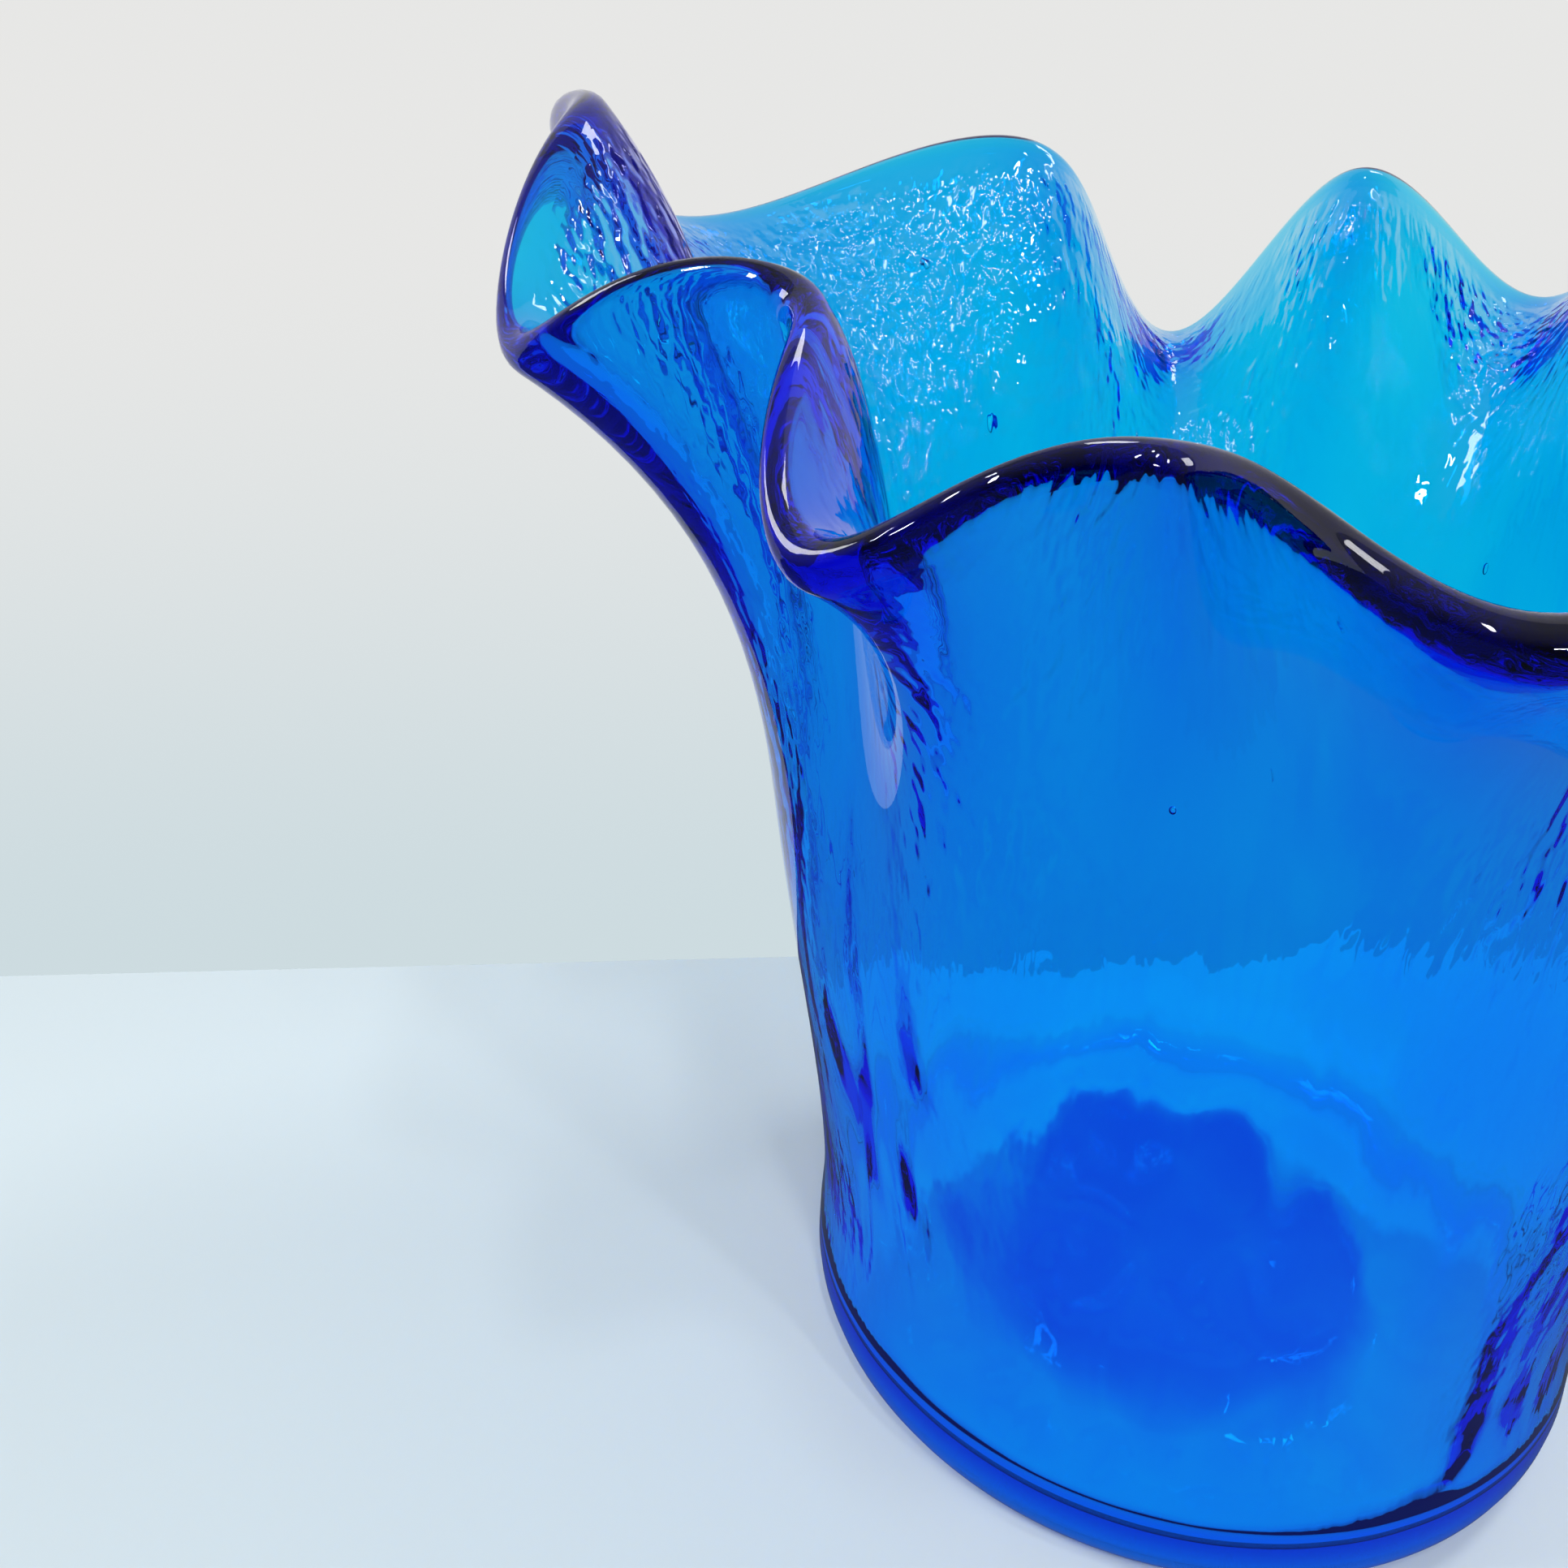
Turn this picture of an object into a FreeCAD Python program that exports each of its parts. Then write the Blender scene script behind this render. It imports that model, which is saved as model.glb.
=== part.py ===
import FreeCAD, Part
import math
import os

# Art glass bowl with a ruffled rim, blown in one piece of turquoise glass.
# +Z is up, the front is towards -Y. The origin is the middle of the flat
# underside, on the surface the bowl stands on. All sizes are in millimetres.

# Foot and heel
heel_radius = 73.5          # widest point just above the table
heel_height = 9.0           # height of that widest point
foot_inset = 6.5            # the flat foot is this much smaller than the heel
foot_edge_inset = 3.9       # rounding between the foot and the heel
heel_edge_inset = 0.4
heel_edge_height = 1.9

# Inside floor and the round corner where it meets the wall
floor_thickness = 5.5       # solid glass under the ring of floor next to the wall
corner_insets = (0.9, 2.4, 6.5, 9.0)    # in from the inner wall
corner_rises = (5.0, 1.2, 0.0, 0.0)     # above the inside floor
corner_clear = 9.0          # the plain inner wall starts this far above the floor
mound_rise = 6.5            # the glass is thicker in the middle, where the gather was
mound_radii = (54.0, 48.0, 42.0, 35.0, 30.0, 25.0)
mound_shares = (0.0, 0.0, 0.25, 0.85, 1.0, 1.0)
mound_scale = 73.5          # heel radius that the mound's radii are given for

# Wall
waist_inset = 1.3           # slight waist above the heel
waist_height = 28.0
barrel_radius = 79.5        # outside, where the flare begins
barrel_height = 120.0
wall_thickness = 4.6
lip_thickness = 7.4
lip_thicken_power = 6       # how late the wall thickens towards the lip
lip_round = 0.62            # how far the fire-polished edge bulges, in lip thicknesses

# Rim, as seen at the lip
rim_radius = 104.3          # mean radius of the lip
rim_height = 194.2          # mean height of the lip
flare_power = 7.0           # how late the wall turns outward
ruffle_power = 4.5          # how far down the ruffles reach

# Ruffles: low folds lean outward, high folds stand inward
ruffle_count = 8
ruffle_turn = -112.2        # direction of one high fold, degrees
ruffle_out = 13.6           # radial swing of a fold
ruffle_out_extra = 4.8      # folds are deeper on this side
ruffle_out_turn = -19.0
ruffle_rise = 11.1          # height swing of a fold
ruffle_rise_extra = 7.0     # folds are taller at the back
ruffle_rise_turn = 96.0
pinch_out = -0.7            # narrows the low folds
pinch_rise = -1.5

# Hand-made unevenness, strongest on the left at the back
uneven_turn = 150.0
lean_out = 5.2
lean_out_turn = 88.0
oval_out = 11.3
oval_out_turn = 160.0
lean_rise = 4.4
lean_rise_turn = 103.0
oval_rise = 21.0
oval_rise_turn = 163.0
drift = 4.5                 # uneven spacing of the folds, degrees
drift_turn = -55.0
bunch = -14.5
bunch_turn = 0.6

# One fold at the left slumped lower and further out while the glass was soft
slump_turn = 170.3
slump_out = 3.6
slump_rise = -7.3
slump_width = 12.0          # degrees from its middle to where it has faded to a third

around = 96                 # control points round the bowl
steps = 22                  # control points up each side of the wall
crowd_power = 1.35          # they stand closer together near the lip
slope_step = 0.004          # share of the wall over which its slope is taken

waist_radius = heel_radius - waist_inset
foot_radius = heel_radius - foot_inset


def wave(angle, turn, lobes):
    return math.cos(lobes * (angle - math.radians(turn)))


def smooth(x):
    x = min(max(x, 0.0), 1.0)
    return x * x * (3.0 - 2.0 * x)


def uneven(angle):
    return 0.5 + 0.5 * wave(angle, uneven_turn, 1)


def fold(angle):
    # Phase of the ruffle: 0 on a high fold, half a turn on a low fold
    shift = drift * wave(angle, drift_turn, 1)
    shift = shift + bunch * uneven(angle) * wave(angle, bunch_turn, 2)
    return ruffle_count * (angle - math.radians(ruffle_turn - shift))


def slump(angle):
    away = math.degrees(angle) - slump_turn
    away = (away + 180.0) % 360.0 - 180.0
    return math.exp(-(away / slump_width) ** 2)


def lip_radius(angle):
    phase = fold(angle)
    swing = ruffle_out + ruffle_out_extra * wave(angle, ruffle_out_turn, 1)
    lean = lean_out * wave(angle, lean_out_turn, 1)
    oval = oval_out * uneven(angle) * wave(angle, oval_out_turn, 2)
    pinch = pinch_out * math.cos(2.0 * phase)
    return rim_radius + lean + oval - swing * math.cos(phase) + pinch + slump_out * slump(angle)


def lip_height(angle):
    phase = fold(angle)
    swing = ruffle_rise + ruffle_rise_extra * wave(angle, ruffle_rise_turn, 1)
    lean = lean_rise * wave(angle, lean_rise_turn, 1)
    oval = oval_rise * uneven(angle) * wave(angle, oval_rise_turn, 2)
    pinch = pinch_rise * math.cos(2.0 * phase)
    return rim_height + lean + oval + swing * math.cos(phase) + pinch + slump_rise * slump(angle)


def barrel(height):
    # Plain wall without flare or ruffles
    widen = smooth((height - waist_height) / (barrel_height - waist_height))
    heel = 1.0 - smooth((height - heel_height) / (waist_height - heel_height))
    return waist_radius + (barrel_radius - waist_radius) * widen + (heel_radius - waist_radius) * heel


def outside(angle, s):
    # Point on the outer wall: s runs from 0 at the heel to 1 at the lip
    low = heel_height
    level = low + (rim_height - low) * s
    height = level + (lip_height(angle) - rim_height) * s ** ruffle_power
    radius = barrel(level) + (rim_radius - barrel_radius) * s ** flare_power
    radius = radius + (lip_radius(angle) - rim_radius) * s ** ruffle_power
    return radius, height


def section(angle):
    # Closed side of the bowl from the foot, over the lip, to the inside floor
    points = [(foot_radius, 0.0), (heel_radius - foot_edge_inset, 0.0)]
    points.append((heel_radius - heel_edge_inset, heel_edge_height))
    inner = []
    for i in range(steps + 1):
        s = 1.0 - (1.0 - i / steps) ** crowd_power
        r0, z0 = outside(angle, max(s - slope_step, 0.0))
        r1, z1 = outside(angle, min(s + slope_step, 1.0))
        r, z = outside(angle, s)
        length = math.hypot(r1 - r0, z1 - z0)
        thick = wall_thickness + (lip_thickness - wall_thickness) * s ** lip_thicken_power
        nr = -(z1 - z0) / length
        nz = (r1 - r0) / length
        points.append((r, z))
        inner.append((r + thick * nr, z + thick * nz))
    # Fire-polished lip: two control points round the edge
    push = lip_thickness * lip_round
    tr = nz * push
    tz = -nr * push
    points.append((points[-1][0] + tr, points[-1][1] + tz))
    points.append((inner[-1][0] + tr, inner[-1][1] + tz))
    inner.reverse()
    for r, z in inner:
        if z > floor_thickness + corner_clear:
            points.append((r, z))
    corner = heel_radius - wall_thickness
    for inset, rise in zip(corner_insets, corner_rises):
        points.append((corner - inset, floor_thickness + rise))
    # Low mound in the middle of the floor
    for radius, share in zip(mound_radii, mound_shares):
        points.append((radius * heel_radius / mound_scale, floor_thickness + mound_rise * share))
    return points


rows = []
for k in range(around):
    angle = 2.0 * math.pi * k / around
    rows.append([FreeCAD.Vector(r * math.cos(angle), r * math.sin(angle), z) for r, z in section(angle)])

count = len(rows[0])
print("control points along the section", count)

side = Part.BSplineSurface()
side.buildFromPolesMultsKnots(
    rows,
    [1] * (around + 1),
    [4] + [1] * (count - 4) + [4],
    [float(k) for k in range(around + 1)],
    [float(k) for k in range(count - 2)],
    True,
    False,
    3,
    3,
)
wall_face = side.toShape()

ends = []
for edge in wall_face.Edges:
    if edge.isClosed() and edge.BoundBox.ZLength < 0.001:
        ends.append(edge)
ends.sort(key=lambda edge: edge.BoundBox.ZMin)
print("closed ends", len(ends))
foot_face = Part.Face(Part.Wire([ends[0]]))
floor_face = Part.Face(Part.Wire([ends[-1]]))

shell = Part.makeShell([wall_face, foot_face, floor_face])
shell.sewShape()
bowl = Part.Solid(Part.Shell(shell.Faces))
if bowl.Volume < 0.0:
    bowl.reverse()

print("valid", bowl.isValid(), "faces", len(bowl.Faces), "volume", round(bowl.Volume))
box = bowl.BoundBox
print("size", round(box.XLength, 1), round(box.YLength, 1), round(box.ZLength, 1))
print("span", round(box.XMin, 1), round(box.XMax, 1), round(box.YMin, 1), round(box.YMax, 1))

os.makedirs("parts", exist_ok=True)
bowl.exportStep("parts/glass_bowl.step")
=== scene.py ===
import bpy
import bmesh
import math
from mathutils import Matrix, Vector, noise


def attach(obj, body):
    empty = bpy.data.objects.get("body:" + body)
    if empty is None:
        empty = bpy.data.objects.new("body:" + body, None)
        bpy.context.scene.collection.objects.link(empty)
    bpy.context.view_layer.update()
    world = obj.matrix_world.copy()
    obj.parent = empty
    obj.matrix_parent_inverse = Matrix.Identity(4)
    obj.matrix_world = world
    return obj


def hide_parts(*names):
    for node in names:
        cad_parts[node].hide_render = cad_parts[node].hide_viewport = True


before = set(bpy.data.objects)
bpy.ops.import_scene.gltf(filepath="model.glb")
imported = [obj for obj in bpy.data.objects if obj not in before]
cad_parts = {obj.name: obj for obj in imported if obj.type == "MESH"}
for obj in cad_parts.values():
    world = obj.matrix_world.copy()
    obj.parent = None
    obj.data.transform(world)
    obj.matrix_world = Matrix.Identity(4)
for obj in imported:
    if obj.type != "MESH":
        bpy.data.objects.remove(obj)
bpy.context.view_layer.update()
print("frame loaded", list(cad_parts))

# the bowl's shape in millimetres and degrees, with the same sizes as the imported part
bowl = {
    "heelRadius": 73.5, "heelHeight": 9.0, "footInset": 6.5,
    "waistInset": 1.3, "waistHeight": 28.0,
    "barrelRadius": 79.5, "barrelHeight": 120.0,
    "floorThickness": 5.5, "cornerRadius": 9.0, "cornerInset": 0.4,
    "moundRise": 6.5, "moundTop": 31.0, "moundFoot": 46.0,
    "wall": 4.6, "lip": 7.4, "lipPower": 6, "lipBulge": 0.46,
    "noseStart": 0.95, "noseThin": 0.85,    # the inside curves in towards the lip from here, down to this share
    "rimRadius": 104.3, "rimHeight": 194.2, "flarePower": 7.0, "rufflePower": 4.5,
    "ruffles": 8, "ruffleTurn": -112.2,
    "ruffleOut": 13.6, "ruffleOutExtra": 4.8, "ruffleOutTurn": -19.0,
    "ruffleRise": 11.1, "ruffleRiseExtra": 7.0, "ruffleRiseTurn": 96.0,
    "pinchOut": -0.7, "pinchRise": -1.5,
    "unevenTurn": 150.0, "leanOut": 5.2, "leanOutTurn": 88.0, "ovalOut": 11.3, "ovalOutTurn": 160.0,
    "leanRise": 4.4, "leanRiseTurn": 103.0, "ovalRise": 21.0, "ovalRiseTurn": 163.0,
    "drift": 4.5, "driftTurn": -55.0, "bunch": -14.5, "bunchTurn": 0.6,
    "slumpTurn": 170.3, "slumpOut": 3.6, "slumpRise": -7.3, "slumpWidth": 12.0,
}

# how finely the bowl is meshed: rows crowd together towards the lip
fineness = {
    "spinSteps": 560, "footRows": 3, "heelRows": 6, "outerRows": 36, "outerCrowd": 1.3, "lipRows": 9,
    "innerRows": 88, "innerCrowd": 1.15, "cornerRows": 6, "floorRows": 22, "slopeStep": 0.004,
}


def wave(angle, turn, lobes):
    return math.cos(lobes * (angle - math.radians(turn)))


def smooth(x):
    x = min(max(x, 0.0), 1.0)
    return x * x * (3.0 - 2.0 * x)


def lipAt(angle):
    # radius and height of the lip in this direction
    b = bowl
    uneven = 0.5 + 0.5 * wave(angle, b["unevenTurn"], 1)
    shift = b["drift"] * wave(angle, b["driftTurn"], 1)
    shift += b["bunch"] * uneven * wave(angle, b["bunchTurn"], 2)
    phase = b["ruffles"] * (angle - math.radians(b["ruffleTurn"] - shift))
    swingOut = b["ruffleOut"] + b["ruffleOutExtra"] * wave(angle, b["ruffleOutTurn"], 1)
    swingUp = b["ruffleRise"] + b["ruffleRiseExtra"] * wave(angle, b["ruffleRiseTurn"], 1)
    away = (math.degrees(angle) - b["slumpTurn"] + 180.0) % 360.0 - 180.0
    slump = math.exp(-(away / b["slumpWidth"]) ** 2)
    radius = b["rimRadius"] + slump * b["slumpOut"] + b["leanOut"] * wave(angle, b["leanOutTurn"], 1)
    radius += b["ovalOut"] * uneven * wave(angle, b["ovalOutTurn"], 2)
    radius += b["pinchOut"] * math.cos(2.0 * phase) - swingOut * math.cos(phase)
    height = b["rimHeight"] + slump * b["slumpRise"] + b["leanRise"] * wave(angle, b["leanRiseTurn"], 1)
    height += b["ovalRise"] * uneven * wave(angle, b["ovalRiseTurn"], 2)
    height += b["pinchRise"] * math.cos(2.0 * phase) + swingUp * math.cos(phase)
    return radius, height


def barrel(height):
    # radius of the plain wall, before the flare and the ruffles
    b = bowl
    waist = b["heelRadius"] - b["waistInset"]
    widen = smooth((height - b["waistHeight"]) / (b["barrelHeight"] - b["waistHeight"]))
    heel = 1.0 - smooth((height - b["heelHeight"]) / (b["waistHeight"] - b["heelHeight"]))
    return waist + (b["barrelRadius"] - waist) * widen + b["waistInset"] * heel


def outerWall(lip, s):
    # s runs up the wall, 0 at the heel and 1 at the lip
    b = bowl
    level = b["heelHeight"] + (b["rimHeight"] - b["heelHeight"]) * s
    radius = barrel(level) + (b["rimRadius"] - b["barrelRadius"]) * s ** b["flarePower"]
    radius += (lip[0] - b["rimRadius"]) * s ** b["rufflePower"]
    return radius, level + (lip[1] - b["rimHeight"]) * s ** b["rufflePower"]


def wallFrame(lip, s):
    # point on the outer wall, its outward direction in the section, and the wall's thickness
    step = fineness["slopeStep"]
    low, high, here = outerWall(lip, max(s - step, 0.0)), outerWall(lip, min(s + step, 1.0)), outerWall(lip, s)
    run = math.hypot(high[0] - low[0], high[1] - low[1])
    thick = bowl["wall"] + (bowl["lip"] - bowl["wall"]) * s ** bowl["lipPower"]
    return here, ((high[1] - low[1]) / run, (low[0] - high[0]) / run), thick


# ripples and tool marks in millimetres; the inside carries most of them
ripple = {
    "innerRadius": 75.0, "outerRadius": 80.0, "rise": 190.0,    # the plain cylinder that the noise is taken on
    "sway": 0.75, "swaySize": 40.0, "swaySquash": 0.6,          # slow waviness of the inner wall
    "drops": 0.95, "dropSize": 9.0, "dropStretch": 2.6,         # drop-like ripples, longer up the wall than round it
    "patchSize": 45.0, "patchMiddle": 0.6, "patchSwing": 1.1, "patchLeast": 0.2, "patchMost": 1.3,
    "ridge": 0.42, "ridgeSize": 8.0, "ridgeStretch": 7.0, "ridgeWidth": 0.16,   # narrow upright ridges, seen as streaks
    "ridgePatchSize": 22.0, "ridgePatchSquash": 0.5, "ridgePatchSwing": 3.0,
    "streak": 0.25, "streakSize": 13.0, "streakStretch": 9.0,   # faint upright streaks on the outer wall
    "mound": 1.1, "moundSize": 17.0, "pool": 0.55, "poolSize": 6.0,     # the inside floor
    "floorEdge": 60.0, "floorFade": 8.0,
    "calmTurn": -112.0, "calmFrom": 0.42, "calmOver": 0.36,     # the front wall is smoother
    "calmRidge": 0.7, "calmDrops": 0.1, "calmPebble": 0.72,
    "pebbleFloor": 0.6,
    "outerFade": 12.0, "cornerFade": 30.0, "lipFade": 16.0, "pebbleFade": 40.0,     # how suddenly each dies away at its end
}

# each noise starts somewhere else, so that no two follow each other
noiseShift = {
    "sway": 0.0, "mound": 9.0, "patch": 31.0, "pool": 40.0, "streak": 50.0, "drops": 77.0, "ridge": 113.0,
    "ridgePatch": 151.0,
}


def noiseAt(x, y, z, size, name):
    shift = noiseShift[name]
    return noise.noise(Vector((x + shift, y - shift * 0.7, z + shift * 1.3)) / size)


def calm(angle):
    # 1 on the smoother front of the wall, 0 elsewhere
    return smooth((wave(angle, ripple["calmTurn"], 1) - ripple["calmFrom"]) / ripple["calmOver"])


def innerRipple(angle, s):
    # how far the inner wall stands proud of the plain shape
    r = ripple
    x, y, z = r["innerRadius"] * math.cos(angle), r["innerRadius"] * math.sin(angle), r["rise"] * s
    slow = noiseAt(x, y, z * r["swaySquash"], r["swaySize"], "sway") * r["sway"]
    patch = r["patchMiddle"] + r["patchSwing"] * noiseAt(x, y, z, r["patchSize"], "patch")
    patch = min(max(patch, r["patchLeast"]), r["patchMost"])
    drops = noiseAt(x, y, z / r["dropStretch"], r["dropSize"], "drops") * r["drops"] * patch
    line = abs(noiseAt(x, y, z / r["ridgeStretch"], r["ridgeSize"], "ridge")) / r["ridgeWidth"]
    where = noiseAt(x, y, z * r["ridgePatchSquash"], r["ridgePatchSize"], "ridgePatch")
    where = smooth(r["ridgePatchSwing"] * where)
    drops *= 1.0 - r["calmDrops"] * calm(angle)
    return slow + drops + smooth(1.0 - line) * r["ridge"] * where * (1.0 - r["calmRidge"] * calm(angle))


def outerRipple(angle, s):
    r = ripple
    x, y, z = r["outerRadius"] * math.cos(angle), r["outerRadius"] * math.sin(angle), r["rise"] * s
    return noiseAt(x, y, z / r["streakStretch"], r["streakSize"], "streak") * r["streak"]


def floorMound(angle, radius):
    # the floor is thicker in the middle and a little uneven
    b, r = bowl, ripple
    x, y = radius * math.cos(angle), radius * math.sin(angle)
    mound = b["moundRise"] * smooth((b["moundFoot"] - radius) / (b["moundFoot"] - b["moundTop"]))
    rough = noiseAt(x, y, 0.0, r["moundSize"], "mound") * r["mound"]
    rough += noiseAt(x, y, 0.0, r["poolSize"], "pool") * r["pool"]
    return mound + rough * smooth((r["floorEdge"] - radius) / r["floorFade"])


def innerStart():
    # share of the way up the wall where the plain inside begins, above its round corner
    b = bowl
    return (b["floorThickness"] + b["cornerRadius"] - b["heelHeight"]) / (b["rimHeight"] - b["heelHeight"])


def chainPoints():
    # one section as (radius, height, share of the way up, side), from the foot, over the lip, to the floor.
    # side is 0 on the outside, 1 on the inside, between them on the lip, and -1 on the foot and the floor,
    # which stay where they are; the wall's points only have to differ here, because they are placed later
    b, f = bowl, fineness
    points = []
    foot = b["heelRadius"] - b["footInset"]
    for k in range(1, f["footRows"] + 1):
        points.append((foot * k / f["footRows"], 0.0, 0.0, -1.0))
    for k in range(1, f["heelRows"] + 1):
        turn = math.pi * 0.5 * k / f["heelRows"]
        points.append((foot + b["footInset"] * math.sin(turn), b["heelHeight"] * (1.0 - math.cos(turn)), 0.0, -1.0))
    for k in range(1, f["outerRows"] + 1):
        s = 1.0 - (1.0 - k / f["outerRows"]) ** f["outerCrowd"]
        points.append((80.0, 10.0 + 190.0 * s, s, 0.0))
    for k in range(1, f["lipRows"]):
        points.append((80.0 - k, 201.0, 1.0, k / f["lipRows"]))
    floor, corner = b["floorThickness"], b["cornerRadius"]
    start = innerStart()
    for k in range(f["innerRows"], -1, -1):
        s = 1.0 - (1.0 - k / f["innerRows"]) ** f["innerCrowd"]
        points.append((70.0, 20.0 + 180.0 * s, start + (1.0 - start) * s, 1.0))
    inside = b["heelRadius"] - b["wall"] - b["cornerInset"]
    for k in range(1, f["cornerRows"] + 1):
        turn = math.pi * 0.5 * k / f["cornerRows"]
        points.append((inside - corner * (1.0 - math.cos(turn)), floor + corner * (1.0 - math.sin(turn)), 0.0, -1.0))
    for k in range(f["floorRows"], 0, -1):
        points.append(((inside - corner) * k / (f["floorRows"] + 0.5), floor, 0.0, -1.0))
    return points


def placeWall(angle, lip, s, side):
    # radius and height of a point of the wall or the lip
    b = bowl
    (r, z), out, thick = wallFrame(lip, s)
    if side == 0.0:
        fade = smooth(s * ripple["outerFade"]) * smooth((1.0 - s) * ripple["outerFade"])
        push = outerRipple(angle, s) * fade
    elif side == 1.0:
        nose = max(s - b["noseStart"], 0.0) / (1.0 - b["noseStart"])
        thick *= math.sqrt(1.0 - nose * nose * (1.0 - b["noseThin"] ** 2))
        fade = smooth((s - innerStart()) * ripple["cornerFade"]) * smooth((1.0 - s) * ripple["lipFade"])
        push = -thick - innerRipple(angle, s) * fade
    else:
        push = -thick * b["noseThin"] * (0.5 - 0.5 * math.cos(math.pi * side))
    r, z = r + out[0] * push, z + out[1] * push
    if 0.0 < side < 1.0:      # fire-polished edge: half round
        bulge = b["lip"] * b["lipBulge"] * math.sin(math.pi * side)
        r, z = r - out[1] * bulge, z + out[0] * bulge
    return r, z


def buildBowl():
    # a short chain of points is spun all the way round, then pulled into its ruffles
    b = bowl
    bm = bmesh.new()
    along = bm.verts.layers.float.new("along")
    across = bm.verts.layers.float.new("across")
    textured = bm.verts.layers.float.new("textured")
    chain = []
    for radius, height, s, side in chainPoints():
        v = bm.verts.new((radius * 0.001, 0.0, height * 0.001))
        v[along] = s
        v[across] = side
        chain.append(v)
    for v1, v2 in zip(chain, chain[1:]):
        bm.edges.new((v1, v2))
    bmesh.ops.spin(bm, geom=bm.verts[:] + bm.edges[:], cent=(0, 0, 0), axis=(0, 0, 1), dvec=(0, 0, 0),
                   angle=math.tau, steps=fineness["spinSteps"], use_merge=True)
    bmesh.ops.remove_doubles(bm, verts=bm.verts, dist=1e-7)

    floor = b["floorThickness"]
    floorEdge = b["heelRadius"] - b["wall"] - b["cornerInset"] - b["cornerRadius"]
    lips = {}
    for v in bm.verts:
        angle = math.atan2(v.co.y, v.co.x)
        key = round(angle, 4)
        if key not in lips:
            lips[key] = lipAt(angle)
        s, side = v[along], v[across]
        if side >= 0.0:
            r, z = placeWall(angle, lips[key], s, side)
            if side == 1.0:
                fade = smooth((1.0 - s) * ripple["pebbleFade"])
                v[textured] = fade * (1.0 - ripple["calmPebble"] * calm(angle))
        else:
            r, z = math.hypot(v.co.x, v.co.y) * 1000.0, v.co.z * 1000.0
            if z >= floor - 0.01 and r < floorEdge + 0.1:
                z += floorMound(angle, r)
                v[textured] = ripple["pebbleFloor"]
        v.co = Vector((r * math.cos(angle), r * math.sin(angle), z)) * 0.001

    # the foot and the floor are each closed by one face
    openEdges = [e for e in bm.edges if e.is_boundary]
    middle = floor * 0.5 * 0.001
    bmesh.ops.contextual_create(bm, geom=[e for e in openEdges if e.verts[0].co.z < middle])
    bmesh.ops.contextual_create(bm, geom=[e for e in openEdges if e.verts[0].co.z > middle])
    bmesh.ops.recalc_face_normals(bm, faces=bm.faces)
    return bm


# air bubbles caught in the wall: direction, share of the way up, length and width in millimetres
bubbles = {
    "long": {"turn": 115.0, "up": 0.79, "long": 4.0, "wide": 1.9},
    "small": {"turn": 120.0, "up": 0.93, "long": 1.6, "wide": 1.2},
    "low": {"turn": 66.0, "up": 0.42, "long": 2.6, "wide": 1.5},
    "side": {"turn": 12.0, "up": 0.55, "long": 2.2, "wide": 1.3},
    "back": {"turn": 150.0, "up": 0.36, "long": 2.0, "wide": 1.4},
    "right": {"turn": 38.0, "up": 0.68, "long": 2.4, "wide": 1.2},
    "front": {"turn": -115.0, "up": 0.75, "long": 1.1, "wide": 1.0},
}
bubbleDepth = 0.5       # share of the wall's thickness
bubbleFlatness = 0.7    # through the wall, as a share of the width


def addBubbles(bm):
    for one in bubbles.values():
        angle = math.radians(one["turn"])
        (r, z), out, thick = wallFrame(lipAt(angle), one["up"])
        r, z = r - out[0] * thick * bubbleDepth, z - out[1] * thick * bubbleDepth
        made = bmesh.ops.create_icosphere(bm, subdivisions=3, radius=0.0005)["verts"]
        bmesh.ops.scale(bm, vec=(one["wide"] * bubbleFlatness, one["wide"], one["long"]), verts=made)
        lean = math.atan2(-out[1], out[0])
        bmesh.ops.rotate(bm, matrix=Matrix.Rotation(lean, 3, "Y"), verts=made)
        bmesh.ops.rotate(bm, matrix=Matrix.Rotation(angle, 3, "Z"), verts=made)
        bmesh.ops.translate(bm, vec=Vector((r * math.cos(angle), r * math.sin(angle), z)) * 0.001, verts=made)
        faces = {f for v in made for f in v.link_faces}
        bmesh.ops.reverse_faces(bm, faces=list(faces))      # a bubble's glass is outside it


bm = buildBowl()
addBubbles(bm)
mesh = bpy.data.meshes.new("glassBowl")
bm.to_mesh(mesh)
bm.free()
for poly in mesh.polygons:
    poly.use_smooth = True
glassBowl = bpy.data.objects.new("glassBowl", mesh)
bpy.context.collection.objects.link(glassBowl)
print("bowl modelled", len(mesh.vertices), "vertices", len(mesh.polygons), "faces")


def addNode(tree, kind, inputs, **settings):
    # an input is a plain value, or the socket that feeds it
    node = tree.nodes.new(kind)
    for name, value in settings.items():
        setattr(node, name, value)
    for name, value in inputs.items():
        if isinstance(value, bpy.types.NodeSocket):
            tree.links.new(value, node.inputs[name])
        else:
            node.inputs[name].default_value = value
    return node


def maths(tree, operation, first, second, clamped=False):
    node = addNode(tree, "ShaderNodeMath", {0: first, 1: second}, operation=operation, use_clamp=clamped)
    return node.outputs["Value"]


def fadeBy(tree, value, start, end):
    # 0 before start, 1 past end, soft between
    inputs = {"Value": value, "From Min": start, "From Max": end}
    return addNode(tree, "ShaderNodeMapRange", inputs, interpolation_type="SMOOTHSTEP").outputs["Result"]


def mixShaders(tree, fac, first, second):
    return addNode(tree, "ShaderNodeMixShader", {"Fac": fac, 1: first, 2: second}).outputs["Shader"]


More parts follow.
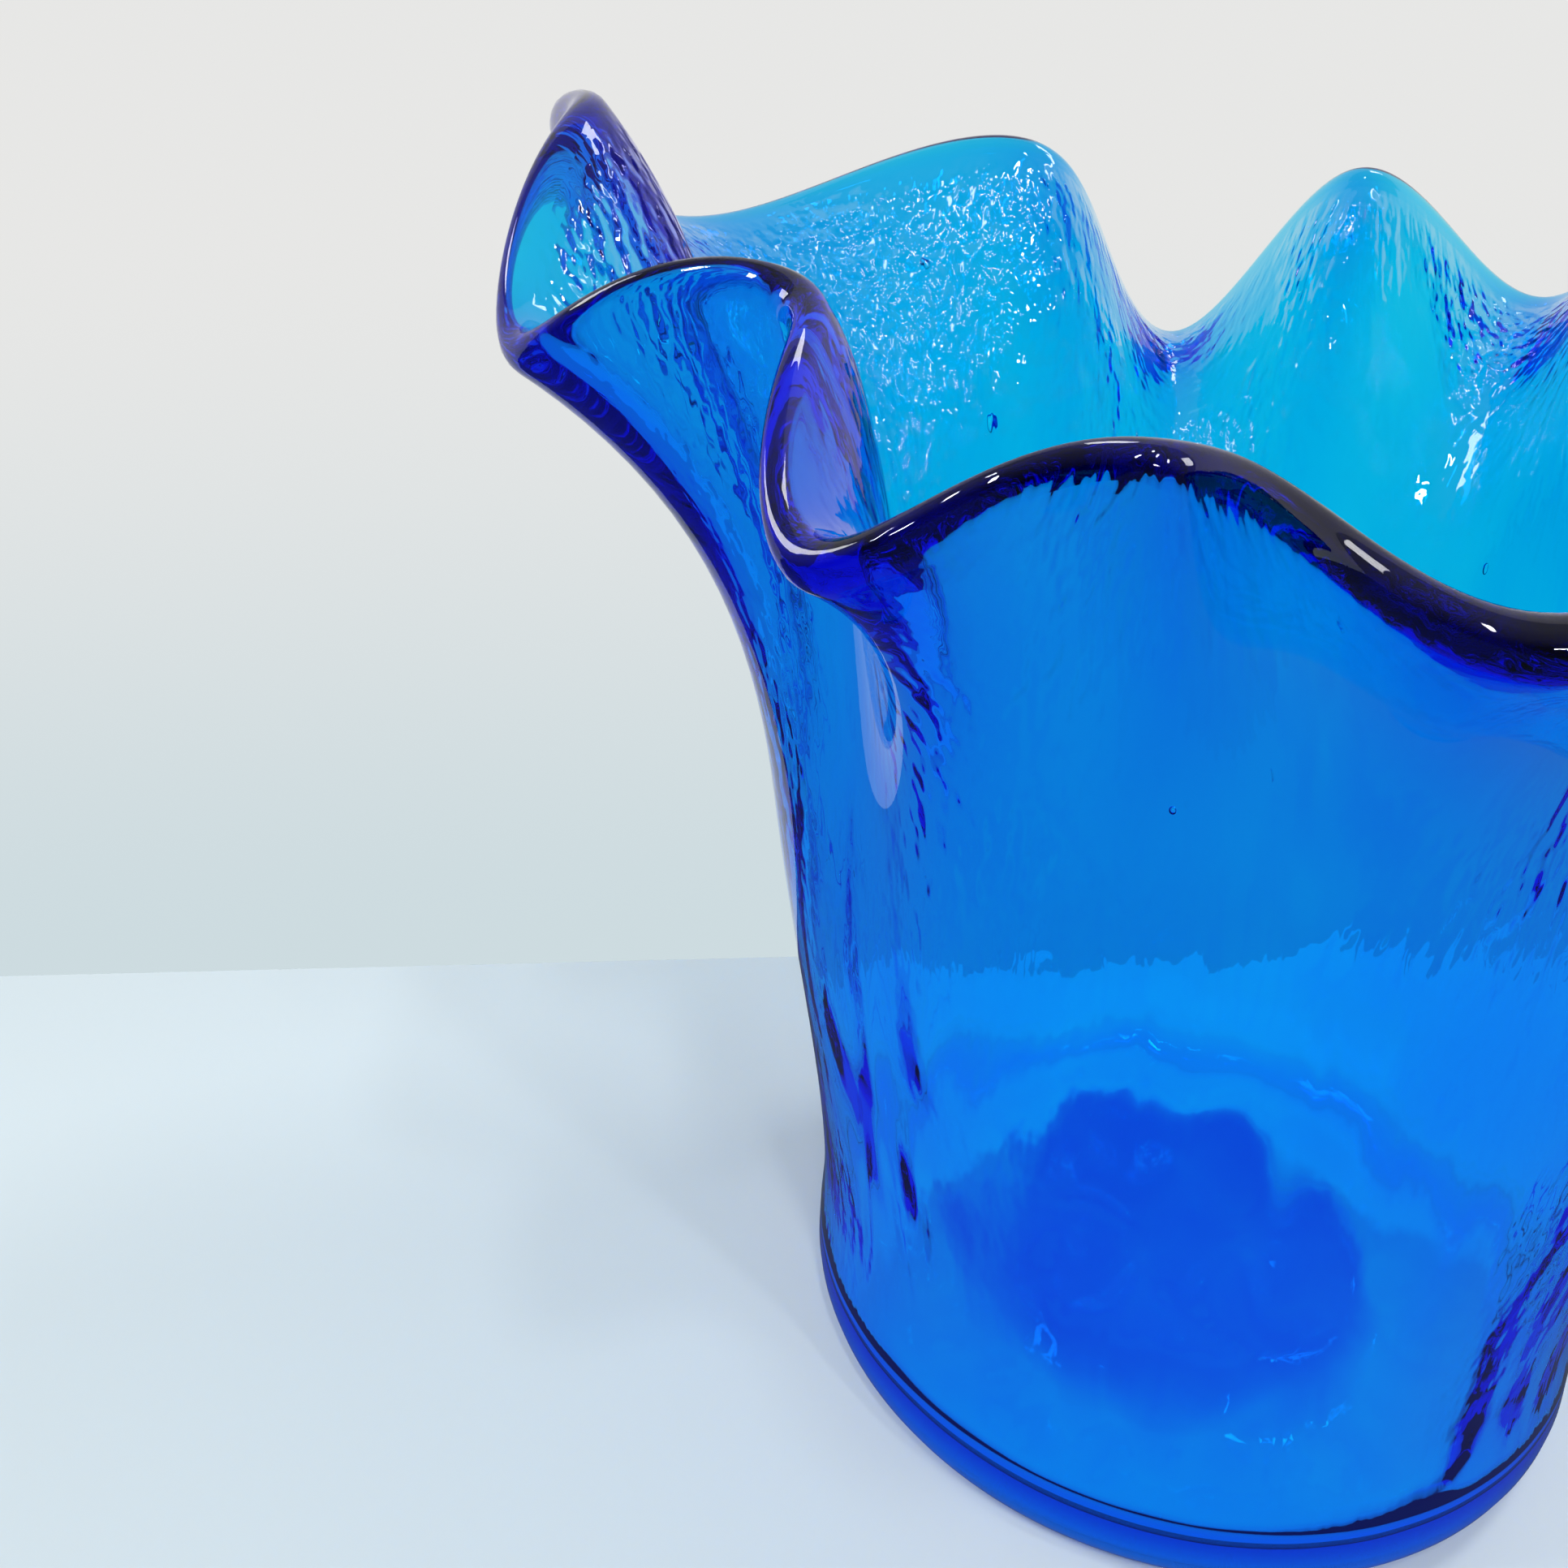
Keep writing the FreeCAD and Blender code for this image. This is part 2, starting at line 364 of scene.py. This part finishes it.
def mixColours(tree, fac, first, second):
    # first and second are colours or sockets
    mix = addNode(tree, "ShaderNodeMix", {"Factor": fac}, data_type="RGBA")
    for name, colour in (("A", first), ("B", second)):
        socket = [s for s in mix.inputs if s.name == name and s.type == "RGBA"][0]
        if isinstance(colour, tuple):
            socket.default_value = colour
        else:
            tree.links.new(colour, socket)
    return [s for s in mix.outputs if s.type == "RGBA"][0]


def seenRays(tree, kinds):
    # 1 for the kinds of ray named, else 0
    path = tree.nodes.new("ShaderNodeLightPath")
    total = path.outputs[kinds[0]]
    for kind in kinds[1:]:
        total = maths(tree, "MAXIMUM", total, path.outputs[kind])
    return total


# turquoise glass: its colour comes from how far light travels inside it
glass = {
    "ior": 1.5, "roughness": 0.012, "specular": 0.2,
    "density": 1400.0, "tint": (0.0, 0.911, 0.995, 1.0),
    "pebble": 0.0027, "pebbleSize": 420.0, "pebbleShape": (1.0, 1.0, 0.4),      # longer up the wall than round it
    "pebbleLow": 0.10, "pebbleHigh": 0.16, "pebbleBelow": 0.1,                  # metres up, and the share left below
    "patchSize": 30.0, "patchFrom": 0.45, "patchTo": 0.62, "patchLeast": 0.12,
}


def makeGlass():
    g = glass
    mat = bpy.data.materials.new("turquoise blown glass")
    mat.use_nodes = True
    tree = mat.node_tree
    tree.nodes.clear()
    # the mould left fine pebbles on the inside only; the outside and the lip are fire-polished
    place = addNode(tree, "ShaderNodeTexCoord", {}).outputs["Object"]
    longer = addNode(tree, "ShaderNodeMapping", {"Vector": place, "Scale": g["pebbleShape"]}).outputs["Vector"]
    grain = addNode(tree, "ShaderNodeTexNoise", {"Vector": longer, "Scale": g["pebbleSize"], "Detail": 1.0})
    patches = addNode(tree, "ShaderNodeTexNoise", {"Vector": longer, "Scale": g["patchSize"], "Detail": 2.0})
    patchy = {"Value": patches.outputs["Fac"], "From Min": g["patchFrom"], "From Max": g["patchTo"],
              "To Min": g["patchLeast"]}
    strong = addNode(tree, "ShaderNodeMapRange", patchy)
    upDown = addNode(tree, "ShaderNodeSeparateXYZ", {"Vector": place})
    rising = {"Value": upDown.outputs["Z"], "From Min": g["pebbleLow"], "From Max": g["pebbleHigh"],
              "To Min": g["pebbleBelow"]}
    high = addNode(tree, "ShaderNodeMapRange", rising, interpolation_type="SMOOTHSTEP")
    inside = addNode(tree, "ShaderNodeAttribute", {}, attribute_name="textured")
    masked = maths(tree, "MULTIPLY", strong.outputs["Result"], high.outputs["Result"])
    masked = maths(tree, "MULTIPLY", masked, inside.outputs["Fac"])
    height = maths(tree, "MULTIPLY", grain.outputs["Fac"], masked)
    bump = addNode(tree, "ShaderNodeBump", {"Distance": g["pebble"], "Height": height})
    shader = addNode(tree, "ShaderNodeBsdfPrincipled", {
        "Base Color": (1, 1, 1, 1), "Metallic": 0.0, "Roughness": g["roughness"], "IOR": g["ior"],
        "Specular IOR Level": g["specular"], "Transmission Weight": 1.0, "Normal": bump.outputs["Normal"]})
    volume = addNode(tree, "ShaderNodeVolumeAbsorption", {"Color": g["tint"], "Density": g["density"]})
    addNode(tree, "ShaderNodeOutputMaterial",
            {"Surface": shader.outputs["BSDF"], "Volume": volume.outputs["Volume"]})
    return mat


glassBowl.data.materials.append(makeGlass())
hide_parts("glass_bowl")
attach(glassBowl, "root")
print("glass made")


# pale table, pale backdrop and pale surround, in metres and degrees
studio = {
    "tableSize": 2.0, "tableColour": (0.60, 0.68, 0.71, 1), "tableRoughness": 0.6,
    # painted light: the table as seen through the glass is pale, with a painted darker, bluer shade under the base that
    # lightens towards the front
    "tableLitThroughGlass": (0.80, 1.0, 1.0, 1), "paintedTableReflection": (0.07, 0.09, 0.11, 1), "tableFade": (0.3, 1.5),
    "baseShadeAt": (0.0, -0.030, 0.0), "baseShadeRadius": 0.068, "baseShadeSoft": 0.003,
    "baseShadeColour": (0.60, 0.62, 0.84, 1), "baseShadeFrontLit": (0.75, 0.86, 0.93, 1), "baseShadeFrontLitFade": (0.03, -0.05),
    "backdropAt": 0.117, "backdropTilt": 12.0, "backdropFade": (0.0, 0.2),
    "backdropShadeLow": (0.61, 0.71, 0.745, 1), "backdropHigh": (0.80, 0.80, 0.79, 1),
    "surround": (0.74, 0.76, 0.78, 1), "surroundStrength": 0.52, "frontDim": 0.06, "dimFrom": -0.5, "dimTo": 0.8,
}


def makeSheet(name, mat, shape):
    bm = bmesh.new()
    bmesh.ops.create_grid(bm, x_segments=1, y_segments=1, size=studio["tableSize"])
    bmesh.ops.transform(bm, matrix=shape, verts=bm.verts)
    mesh = bpy.data.meshes.new(name)
    bm.to_mesh(mesh)
    bm.free()
    mesh.materials.append(mat)
    sheet = bpy.data.objects.new(name, mesh)
    bpy.context.collection.objects.link(sheet)


def makeTableMaterial():
    # the table shows its own shade with the bowl's shadow; through the glass it shows painted light in place of
    # the light that the bowl lets down: a painted darker, bluer shade under the base, lighter at the front, pale
    # elsewhere
    s = studio
    mat = bpy.data.materials.new("pale table")
    mat.use_nodes = True
    tree = mat.node_tree
    shader = tree.nodes["Principled BSDF"]
    shader.inputs["Base Color"].default_value = s["tableColour"]
    shader.inputs["Roughness"].default_value = s["tableRoughness"]
    place = addNode(tree, "ShaderNodeTexCoord", {}).outputs["Object"]
    centred = addNode(tree, "ShaderNodeMapping", {"Vector": place, "Location": s["baseShadeAt"]}, vector_type="TEXTURE")
    away = addNode(tree, "ShaderNodeVectorMath", {0: centred.outputs["Vector"]}, operation="LENGTH")
    parts = addNode(tree, "ShaderNodeSeparateXYZ", {"Vector": place})
    # painted shade under the base of the bowl, lighter towards the front, inside painted pale light elsewhere through
    # the glass
    nearer = fadeBy(tree, parts.outputs["Y"], *s["baseShadeFrontLitFade"])
    pool = mixColours(tree, nearer, s["baseShadeColour"], s["baseShadeFrontLit"])
    edge = fadeBy(tree, away.outputs["Value"], s["baseShadeRadius"] - s["baseShadeSoft"], s["baseShadeRadius"] + s["baseShadeSoft"])
    lit = mixColours(tree, edge, pool, s["tableLitThroughGlass"])
    through = addNode(tree, "ShaderNodeEmission", {"Color": lit})
    # painted reflection: the table, as mirrored in the glass, is a fixed dark colour
    mirrored = addNode(tree, "ShaderNodeEmission", {"Color": s["paintedTableReflection"]})
    haze = addNode(tree, "ShaderNodeEmission", {"Color": s["surround"]})
    # a ray through the glass also counts as glossy, so the mirrored kind, which gets the painted dark reflection, is
    # what is left
    transmitted = seenRays(tree, ["Is Transmission Ray"])
    reflected = maths(tree, "SUBTRACT", seenRays(tree, ["Is Glossy Ray"]), transmitted, clamped=True)
    # far from the bowl the table fades into the pale surround, except where it is mirrored
    far = addNode(tree, "ShaderNodeVectorMath", {0: place}, operation="LENGTH")
    distant = fadeBy(tree, far.outputs["Value"], *s["tableFade"])
    distant = maths(tree, "SUBTRACT", distant, reflected, clamped=True)
    surface = mixShaders(tree, reflected, shader.outputs["BSDF"], mirrored.outputs["Emission"])
    surface = mixShaders(tree, transmitted, surface, through.outputs["Emission"])
    surface = mixShaders(tree, distant, surface, haze.outputs["Emission"])
    tree.links.new(surface, tree.nodes["Material Output"].inputs["Surface"])
    return mat


def makeBackdropMaterial():
    # a sheet of pale paper that is only there from the front, and throws no shadow
    mat = bpy.data.materials.new("pale backdrop")
    mat.use_nodes = True
    tree = mat.node_tree
    tree.nodes.remove(tree.nodes["Principled BSDF"])
    place = addNode(tree, "ShaderNodeTexCoord", {}).outputs["Object"]
    parts = addNode(tree, "ShaderNodeSeparateXYZ", {"Vector": place})
    # painted shade: the paper glows darker and bluer low down and paler higher up
    higher = fadeBy(tree, parts.outputs["Z"], *studio["backdropFade"])
    colour = mixColours(tree, higher, studio["backdropShadeLow"], studio["backdropHigh"])
    glow = addNode(tree, "ShaderNodeEmission", {"Color": colour})
    clear = addNode(tree, "ShaderNodeBsdfTransparent", {})
    face = addNode(tree, "ShaderNodeNewGeometry", {})
    seen = seenRays(tree, ["Is Camera Ray", "Is Glossy Ray", "Is Transmission Ray"])
    front = maths(tree, "SUBTRACT", seen, face.outputs["Backfacing"], clamped=True)
    surface = mixShaders(tree, front, clear.outputs["BSDF"], glow.outputs["Emission"])
    tree.links.new(surface, tree.nodes["Material Output"].inputs["Surface"])
    return mat


def makeWorld():
    # the room behind the camera is dimmer than the paper and the ceiling
    s = studio
    world = bpy.data.worlds.new("studio")
    bpy.context.scene.world = world
    world.use_nodes = True
    tree = world.node_tree
    back = tree.nodes["Background"]
    back.inputs["Color"].default_value = s["surround"]
    way = addNode(tree, "ShaderNodeTexCoord", {})
    parts = addNode(tree, "ShaderNodeSeparateXYZ", {"Vector": way.outputs["Generated"]})
    lift = maths(tree, "ADD", parts.outputs["Y"], parts.outputs["Z"])
    dim = addNode(tree, "ShaderNodeMapRange", {"Value": lift, "From Min": s["dimFrom"], "From Max": s["dimTo"],
                                               "To Min": s["frontDim"], "To Max": s["surroundStrength"]})
    seen = seenRays(tree, ["Is Camera Ray", "Is Transmission Ray"])
    strength = maths(tree, "MAXIMUM", seen, dim.outputs["Result"])
    tree.links.new(strength, back.inputs["Strength"])


makeSheet("table", makeTableMaterial(), Matrix.Identity(4))
upright = Matrix.Rotation(math.radians(90.0 - studio["backdropTilt"]), 4, "X")
stand = Matrix.Translation((0, studio["backdropAt"], 0)) @ upright @ Matrix.Translation((0, studio["tableSize"], 0))
makeSheet("backdrop", makeBackdropMaterial(), stand)
makeWorld()

# soft lamps, all turned towards the middle of the bowl
lampTarget = (0, 0, 0.12)
lamps = {
    "left window": {"at": (-0.9, -0.05, 0.9), "size": (0.3, 0.5), "watts": 5.5},
    "right window": {"at": (0.75, 0.35, 1.0), "size": (0.25, 0.6), "watts": 5.0},
    "overhead": {"at": (0.05, -0.75, 1.15), "size": (0.08, 0.22), "watts": 3.4},
    "overhead left": {"at": (-0.5, -0.75, 0.95), "size": (0.05, 0.25), "watts": 2.2},
    "overhead right": {"at": (0.5, -0.8, 0.8), "size": (0.05, 0.25), "watts": 2.0},
    "front low": {"at": (-0.1, -1.0, 0.55), "size": (0.2, 0.05), "watts": 2.0},
    "front high": {"at": (0.3, -0.5, 1.4), "size": (0.1, 0.1), "watts": 2.0},
}
for name, lamp in lamps.items():
    light = bpy.data.lights.new(name, "AREA")
    light.shape = "RECTANGLE"
    light.size, light.size_y = lamp["size"]
    light.energy = lamp["watts"]
    lampObject = bpy.data.objects.new(name, light)
    bpy.context.collection.objects.link(lampObject)
    lampObject.location = lamp["at"]
    aim = Vector(lampTarget) - Vector(lamp["at"])
    lampObject.rotation_euler = aim.to_track_quat("-Z", "Y").to_euler()
print("studio lit")


# camera in metres and degrees; light runs a long way inside the lip, so it may bounce often
view = {
    "at": (-0.0786, -0.2137, 0.2245), "pitch": 27.03, "roll": -1.41,
    "lens": 31.69, "sensor": 36.0, "near": 0.01, "bounces": 32,
}
camera = bpy.data.objects.new("camera", bpy.data.cameras.new("camera"))
bpy.context.collection.objects.link(camera)
camera.data.lens = view["lens"]
camera.data.sensor_width = view["sensor"]
camera.data.clip_start = view["near"]
pitch = Matrix.Rotation(math.radians(90.0 - view["pitch"]), 4, "X")
roll = Matrix.Rotation(math.radians(view["roll"]), 4, "Z")
camera.matrix_world = Matrix.Translation(view["at"]) @ pitch @ roll
scene = bpy.context.scene
scene.camera = camera
scene.view_settings.view_transform = "Standard"
scene.cycles.max_bounces = view["bounces"]
scene.cycles.glossy_bounces = view["bounces"]
scene.cycles.transmission_bounces = view["bounces"]
